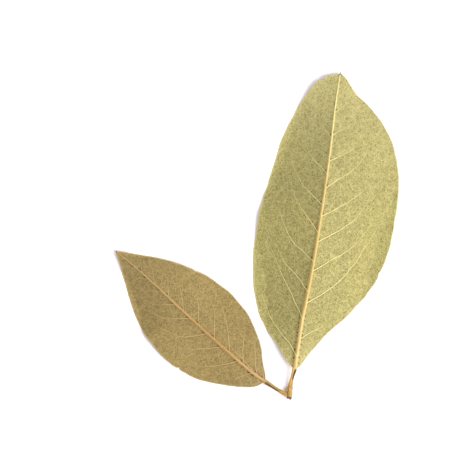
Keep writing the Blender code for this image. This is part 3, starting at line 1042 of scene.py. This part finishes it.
class SPRIG_OT_twig(Operator):
    """Makes the short piece of twig with its joints and its torn foot"""

    bl_idname = "sprig.make_twig"
    bl_label = "Twig"

    def execute(self, context):
        material = bark_material(context.scene.sprig_twig)
        bm = bmesh.new()
        layer = bm.verts.layers.float.new("from_foot")
        rings = 70
        share = np.linspace(0, 1, rings)
        # Rings close over both ends: flat and rough at the foot, domed from its shoulder at the top.
        foot_cap, top_cap, shoulder, summit = 0.10, 0.26, 0.84, 1.05
        dome = np.clip((share - 1 + top_cap) / top_cap, 0, 1) * math.pi / 2
        along = np.clip((share - foot_cap) / (1 - foot_cap - top_cap), 0, 1) * shoulder
        along += (summit - shoulder) * np.sin(dome)
        closing = np.maximum(np.minimum(1, share / foot_cap) * np.cos(dome), 0.02)
        sideways, upwards = frame_along(TWIG_FOOT, TWIG_TOP)
        centres = TWIG_FOOT + np.outer(along, TWIG_TOP - TWIG_FOOT)
        # It swells where each leaf joins it, with a waist between: (size, where, how far it reaches).
        swelling = np.zeros(rings)
        for size, where, spread in ((0.10, 0.30, 0.16), (0.05, 0.86, 0.10), (-0.06, 0.62, 0.20)):
            swelling += size * hump(along, where, spread)
        radius = TWIG_RADIUS * closing * (1 + swelling)
        fresh = add_tube(bm, centres, sideways, upwards, radius, radius, sides=44)
        length = np.linalg.norm(TWIG_TOP - TWIG_FOOT)
        forward = (TWIG_TOP - TWIG_FOOT) / length
        origin = TWIG_FOOT + FOOT
        place = np.array([np.array(vert.co) / MM for vert in fresh]) - origin
        run = place @ forward
        spoke = place - np.outer(run, forward)
        reach = np.linalg.norm(spoke, axis=1)
        angle = np.arctan2(spoke @ upwards, spoke @ sideways)
        ring_x, ring_y = np.cos(angle) * 2, np.sin(angle) * 2
        ridges = 0.030 * np.sin(angle * 9 + run * 0.8) + 0.022 * np.sin(angle * 17 - run * 1.3)
        rough = 0.035 * rolling(ring_x + run * 0.3, ring_y, 1.4, 70)
        rough += 0.018 * rolling(ring_x, ring_y + run, 0.6, 71)
        swell = 1 + (ridges + rough) * np.minimum(1, reach / (0.5 * TWIG_RADIUS))
        torn = hump(run, 0, 0.35)
        shift = torn * (0.20 * rolling(place[:, 0] * 3, place[:, 2] * 3, 1.5, 72) - 0.10)
        moved = origin + np.outer(run + shift, forward) + spoke * swell[:, None]
        moved[:, 2] = np.maximum(moved[:, 2], 0.02)
        for vert, spot, distance in zip(fresh, moved, run / length):
            vert.co = Vector(spot * MM)
            vert[layer] = float(distance)
        finished(bm, "twig_bark", material, "twig_bark", "twig_stub")
        self.make_fibres(material, forward, sideways, upwards)
        return {"FINISHED"}

    def make_fibres(self, material, forward, sideways, upwards):
        """Splinters of torn wood and bark round the foot."""
        rng = np.random.default_rng(8)
        bm = bmesh.new()
        layer = bm.verts.layers.float.new("from_foot")
        for i in range(22):
            turn = i / 22 * 2 * math.pi + rng.uniform(-0.12, 0.12)
            ring = TWIG_RADIUS * rng.uniform(0.35, 0.92)
            spoke = math.cos(turn) * sideways + math.sin(turn) * upwards
            root = TWIG_FOOT + spoke * ring + forward * 0.35
            length = rng.uniform(0.42, 0.66)
            steps = np.linspace(0, 1, 7)
            lean = spoke * rng.uniform(-0.10, 0.10) + np.cross(forward, spoke) * rng.uniform(-0.12, 0.12)
            centres = root - np.outer(steps * length, forward) + np.outer(steps**2, lean)
            thin = (1 - 0.88 * steps**1.5) * rng.uniform(0.06, 0.12)
            centres[:, 2] = np.maximum(centres[:, 2], 0.10)
            fresh = add_tube(bm, centres, spoke, np.cross(forward, spoke), thin * 0.5, thin, sides=6)
            tone = rng.uniform(-0.1, 0.25)
            for vert in fresh:
                vert[layer] = tone
        finished(bm, "twig_fibres", material, "twig_bark", "twig_stub")


class SPRIG_OT_bud(Operator):
    """Makes the bud in the angle of the small leaf's stalk, of overlapping scales"""

    bl_idname = "sprig.make_bud"
    bl_label = "Bud"

    def execute(self, context):
        bm = bmesh.new()
        layer = bm.verts.layers.float.new("from_foot")
        sideways, upwards = frame_along(BUD_FOOT, BUD_TIP)
        axis = BUD_TIP - BUD_FOOT
        # Each scale is a drawn-out shell, lower ones outside and shorter: (turn, start, end, size).
        scales = (
            (0.4, 0.0, 0.90, 0.84), (0.6, 0.0, 0.76, 1.00),
            (2.8, 0.0, 0.64, 1.05), (4.6, -0.03, 0.50, 1.12),
        )
        for turn, start, end, size in scales:
            steps = np.linspace(0, 1, 18)
            centres = BUD_FOOT + np.outer(start + (end - start) * steps, axis)
            lean = 0.06 * math.cos(turn) * sideways + 0.06 * math.sin(turn) * upwards
            centres = centres + np.outer(np.sin(steps * math.pi * 0.8), lean)
            girth = BUD_RADIUS * size * np.sin(np.pi * (0.10 + 0.90 * steps) ** 0.85) ** 0.75
            girth = np.maximum(girth, 0.012)
            for vert in add_tube(bm, centres, sideways, upwards, girth, girth, sides=20):
                spot = np.array(vert.co) / MM - FOOT - BUD_FOOT
                vert[layer] = float(spot @ axis / (axis @ axis))
        finished(bm, "bud_scales", bud_material(context.scene.sprig_twig), "bud_scales", "axillary_bud")
        return {"FINISHED"}


class SPRIG_OT_stage(Operator):
    """Sets out the floor, the soft light and the camera that looks straight down"""

    bl_idname = "sprig.make_stage"
    bl_label = "Stage"

    # The middle of the view, in millimetres from the twig's foot.
    VIEW_CENTRE = (-17.7, 49.5)
    CAMERA_HEIGHT = 1.2
    SENSOR = 36.0
    FLOOR_HALF = 3.0
    # The key light: a large disk to the right and a little in front of the sprig.
    KEY_SIZE = 0.85
    KEY_COLOUR = (1.0, 0.985, 0.95)
    KEY_DISTANCE = 1.0
    KEY_AZIMUTH = math.radians(-22)
    KEY_ELEVATION = math.radians(42)
    FILL_COLOUR = (0.985, 0.975, 1.0, 1.0)

    def execute(self, context):
        scene = context.scene
        stage = scene.sprig_stage
        centre = places_of(np.array((*self.VIEW_CENTRE, 0.0)))
        self.make_floor(stage)
        self.make_camera(scene, stage, centre)
        self.make_key(stage, centre)
        world = bpy.data.worlds.new("studio")
        world.use_nodes = True
        background = world.node_tree.nodes["Background"]
        background.inputs["Color"].default_value = self.FILL_COLOUR
        background.inputs["Strength"].default_value = stage.fill
        scene.world = world
        scene.view_settings.view_transform = "Standard"
        return {"FINISHED"}

    def make_camera(self, scene, stage, centre):
        """A camera that looks straight down and sees the stage's view width."""
        lens = bpy.data.cameras.new("camera")
        lens.sensor_width = self.SENSOR
        lens.lens = self.SENSOR * self.CAMERA_HEIGHT / stage.view_width
        scene.camera = linked("camera", lens)
        scene.camera.location = centre + np.array((0, 0, self.CAMERA_HEIGHT))

    def make_key(self, stage, centre):
        """The large soft light, turned towards the sprig."""
        light = bpy.data.lights.new("key_light", "AREA")
        light.shape = "DISK"
        light.size = self.KEY_SIZE
        light.energy = stage.key_power
        light.color = self.KEY_COLOUR
        away = Vector((
            math.cos(self.KEY_AZIMUTH) * math.cos(self.KEY_ELEVATION),
            math.sin(self.KEY_AZIMUTH) * math.cos(self.KEY_ELEVATION),
            math.sin(self.KEY_ELEVATION),
        ))
        key = linked("key_light", light)
        key.location = Vector(centre) + away * self.KEY_DISTANCE
        key.rotation_euler = away.to_track_quat("Z", "Y").to_euler()

    def make_floor(self, stage):
        """A plain flat floor at the height of the table."""
        bm = bmesh.new()
        bmesh.ops.create_grid(bm, x_segments=1, y_segments=1, size=self.FLOOR_HALF)
        meshed(bm, "floor", Recipe("floor", 0.9, 0.1).finish(stage.floor))


class SPRIG_PT_build(Panel):
    """The sidebar panel that lists the pieces and their properties"""

    bl_idname = "SPRIG_PT_build"
    bl_label = "Bay leaf sprig"
    bl_space_type = "VIEW_3D"
    bl_region_type = "UI"
    bl_category = "Bay sprig"

    def draw(self, context):
        for operator in OPERATORS:
            self.layout.operator(operator.bl_idname)
        for name in PROPERTIES:
            group = getattr(context.scene, name)
            box = self.layout.box()
            for key in group.__annotations__:
                box.prop(group, key)


PROPERTIES = {
    "sprig_leaf_shape": SprigLeafShape,
    "sprig_large_leaf": SprigLargeLeafLook,
    "sprig_small_leaf": SprigSmallLeafLook,
    "sprig_twig": SprigTwigLook,
    "sprig_stage": SprigStage,
}
OPERATORS = (SPRIG_OT_large_leaf, SPRIG_OT_small_leaf, SPRIG_OT_twig, SPRIG_OT_bud, SPRIG_OT_stage)
CLASSES = (*PROPERTIES.values(), *OPERATORS, SPRIG_PT_build)


def register():
    for cls in CLASSES:
        bpy.utils.register_class(cls)
    for name, group in PROPERTIES.items():
        setattr(bpy.types.Scene, name, PointerProperty(type=group))


def unregister():
    for name in PROPERTIES:
        delattr(bpy.types.Scene, name)
    for cls in reversed(CLASSES):
        bpy.utils.unregister_class(cls)


def main():
    """Makes the sprig and its stage."""
    register()
    bpy.ops.sprig.make_large_leaf()
    bpy.ops.sprig.make_small_leaf()
    bpy.ops.sprig.make_twig()
    bpy.ops.sprig.make_bud()
    bpy.ops.sprig.make_stage()


if __name__ == "__main__":
    main()
